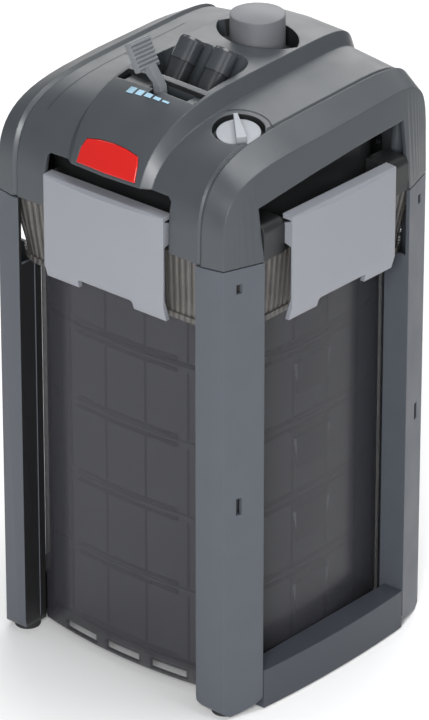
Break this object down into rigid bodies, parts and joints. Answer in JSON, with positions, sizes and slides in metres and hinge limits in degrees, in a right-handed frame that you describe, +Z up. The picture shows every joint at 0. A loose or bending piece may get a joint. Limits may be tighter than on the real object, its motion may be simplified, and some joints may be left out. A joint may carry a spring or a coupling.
{
  "type": "canister filter",
  "caption": "Tall aquarium canister filter: smoky media canister in a four-legged frame, pump head with clips, hose tails, lever, dial and priming button.",
  "frame": {"origin": "centre of the base, on the surface it stands on", "axes": "+Z up, front (flow window) towards -Y, right side towards +X"},
  "size_m": [0.246, 0.234, 0.4715],
  "materials": {
    "smoked_canister": "smoky translucent polycarbonate, satin",
    "frosted_collar": "frosted translucent plastic with fine upright flutes",
    "frame_grey": "satin moulded plastic",
    "foot_rubber": "soft black rubber",
    "steel": "bright stainless steel",
    "basket_plastic": "dark moulded plastic",
    "ceramic": "porous unglazed ceramic",
    "coarse_foam": "open-cell foam",
    "fine_foam": "fine open-cell foam",
    "fleece": "white filter floss",
    "prefilter_foam": "coarse open-cell foam",
    "black_plastic": "black moulded plastic",
    "seal_rubber": "black sealing rubber",
    "base_plastic": "dark grey moulded plastic",
    "head_anthracite": "fine-grained satin anthracite plastic",
    "clip_silver": "silver-grey plastic with a fine satin grain",
    "window_red": "glossy translucent red plastic",
    "flag_yellow": "moulded plastic",
    "magnet": "plastic-coated ferrite",
    "white_ceramic": "polished ceramic",
    "dial_pale": "pale grey satin plastic",
    "button_pale": "pale grey satin plastic",
    "lever_pale": "pale grey satin plastic",
    "slot_grey": "satin grey plastic",
    "tail_gloss": "glossy black plastic"
  },
  "bodies": {
    "frame": {"canister": "smoked_canister", "canister_collar": "frosted_collar", "leg_front_left": "frame_grey", "leg_front_right": "frame_grey", "leg_rear_left": "frame_grey", "leg_rear_right": "frame_grey", "rail_left": "frame_grey", "rail_right": "frame_grey", "rubber_feet": "foot_rubber", "rail_screws": "steel"},
    "bottom_basket": {"basket_1": "basket_plastic", "ceramic_tubes": "ceramic"},
    "second_basket": {"basket_2": "basket_plastic", "coarse_foam": "coarse_foam"},
    "third_basket": {"basket_3": "basket_plastic", "fine_foam": "fine_foam"},
    "fourth_basket": {"basket_4": "basket_plastic", "fleece_pad": "fleece"},
    "top_tray": {"prefilter_tray": "basket_plastic", "prefilter_foam": "prefilter_foam"},
    "head": {"intake_pipe": "black_plastic", "pipe_seal": "seal_rubber", "head_base": "base_plastic", "head_seal": "seal_rubber", "head_cover": "head_anthracite", "head_screws": "steel", "hinge_pins": "steel", "flow_window": "window_red", "flag_bracket": "black_plastic", "flag_pin": "steel", "motor_housing": "black_plastic", "rotor_shaft": "white_ceramic", "shaft_bushes": "seal_rubber", "impeller_cover": "black_plastic", "cable_gland": "black_plastic", "pump_barrel": "black_plastic", "return_spring": "steel", "slot_plate": "slot_grey"},
    "front_clip": {"clip_front": "clip_silver"},
    "right_clip": {"clip_right": "clip_silver"},
    "rear_clip": {"clip_rear": "clip_silver"},
    "left_clip": {"clip_left": "clip_silver"},
    "flag": {"flow_flag": "flag_yellow"},
    "impeller": {"rotor": "magnet"},
    "dial": {"flow_dial": "dial_pale", "dial_spindle": "steel", "bypass_disc": "dial_pale"},
    "button": {"priming_button": "button_pale", "piston": "black_plastic", "piston_seal": "seal_rubber"},
    "lever": {"shutoff_lever": "lever_pale", "lever_shaft": "steel", "lock_cam": "black_plastic"},
    "adapter": {"hose_adapter": "tail_gloss", "hose_tail_in": "tail_gloss", "hose_tail_out": "tail_gloss", "adapter_seals": "seal_rubber"}
  },
  "joints": [
    {"name": "head_lift", "type": "slide", "parent": "frame", "child": "head", "axis": [0, 0, 1], "range_m": [0, 0.3]},
    {"name": "tray_lift", "type": "slide", "parent": "frame", "child": "top_tray", "axis": [0, 0, 1], "range_m": [0, 0.255]},
    {"name": "fourth_basket_lift", "type": "slide", "parent": "frame", "child": "fourth_basket", "axis": [0, 0, 1], "range_m": [0, 0.21]},
    {"name": "third_basket_lift", "type": "slide", "parent": "frame", "child": "third_basket", "axis": [0, 0, 1], "range_m": [0, 0.165]},
    {"name": "second_basket_lift", "type": "slide", "parent": "frame", "child": "second_basket", "axis": [0, 0, 1], "range_m": [0, 0.12]},
    {"name": "bottom_basket_lift", "type": "slide", "parent": "frame", "child": "bottom_basket", "axis": [0, 0, 1], "range_m": [0, 0.075]},
    {"name": "front_clip_hinge", "type": "hinge", "parent": "head", "child": "front_clip", "pos_m": [0, -0.103, 0.366], "axis": [-1, 0, 0], "range_deg": [0, 75]},
    {"name": "right_clip_hinge", "type": "hinge", "parent": "head", "child": "right_clip", "pos_m": [0.109, 0, 0.366], "axis": [0, -1, 0], "range_deg": [0, 75]},
    {"name": "rear_clip_hinge", "type": "hinge", "parent": "head", "child": "rear_clip", "pos_m": [0, 0.103, 0.366], "axis": [1, 0, 0], "range_deg": [0, 75]},
    {"name": "left_clip_hinge", "type": "hinge", "parent": "head", "child": "left_clip", "pos_m": [-0.109, 0, 0.366], "axis": [0, 1, 0], "range_deg": [0, 75]},
    {"name": "flag_hinge", "type": "hinge", "parent": "head", "child": "flag", "pos_m": [0, -0.097, 0.409], "axis": [-1, 0, 0], "range_deg": [0, 40]},
    {"name": "impeller_spin", "type": "hinge", "parent": "head", "child": "impeller", "pos_m": [-0.057, 0.022, 0.35], "axis": [0, 0, 1], "continuous": true},
    {"name": "dial_turn", "type": "hinge", "parent": "head", "child": "dial", "pos_m": [0.069, -0.052, 0.4284], "axis": [0.1202, -0.165, 0.9789], "range_deg": [0, 90]},
    {"name": "button_press", "type": "slide", "parent": "head", "child": "button", "axis": [0, 0, -1], "range_m": [0, 0.015], "stiffness_N_per_m": 400, "springref_m": -0.006, "deforming": ["return_spring"]},
    {"name": "lever_swing", "type": "hinge", "parent": "head", "child": "lever", "pos_m": [0, -0.054, 0.425], "axis": [0, 1, 0], "range_deg": [0, 55]},
    {"name": "adapter_lift", "type": "slide", "parent": "head", "child": "adapter", "axis": [0, 0, 1], "range_m": [0, 0.06]}
  ],
  "couplings": [
    {"joint": "tray_lift", "follows": "head_lift", "ratio": 0.85},
    {"joint": "fourth_basket_lift", "follows": "head_lift", "ratio": 0.7},
    {"joint": "third_basket_lift", "follows": "head_lift", "ratio": 0.55},
    {"joint": "second_basket_lift", "follows": "head_lift", "ratio": 0.4},
    {"joint": "bottom_basket_lift", "follows": "head_lift", "ratio": 0.25}
  ]
}
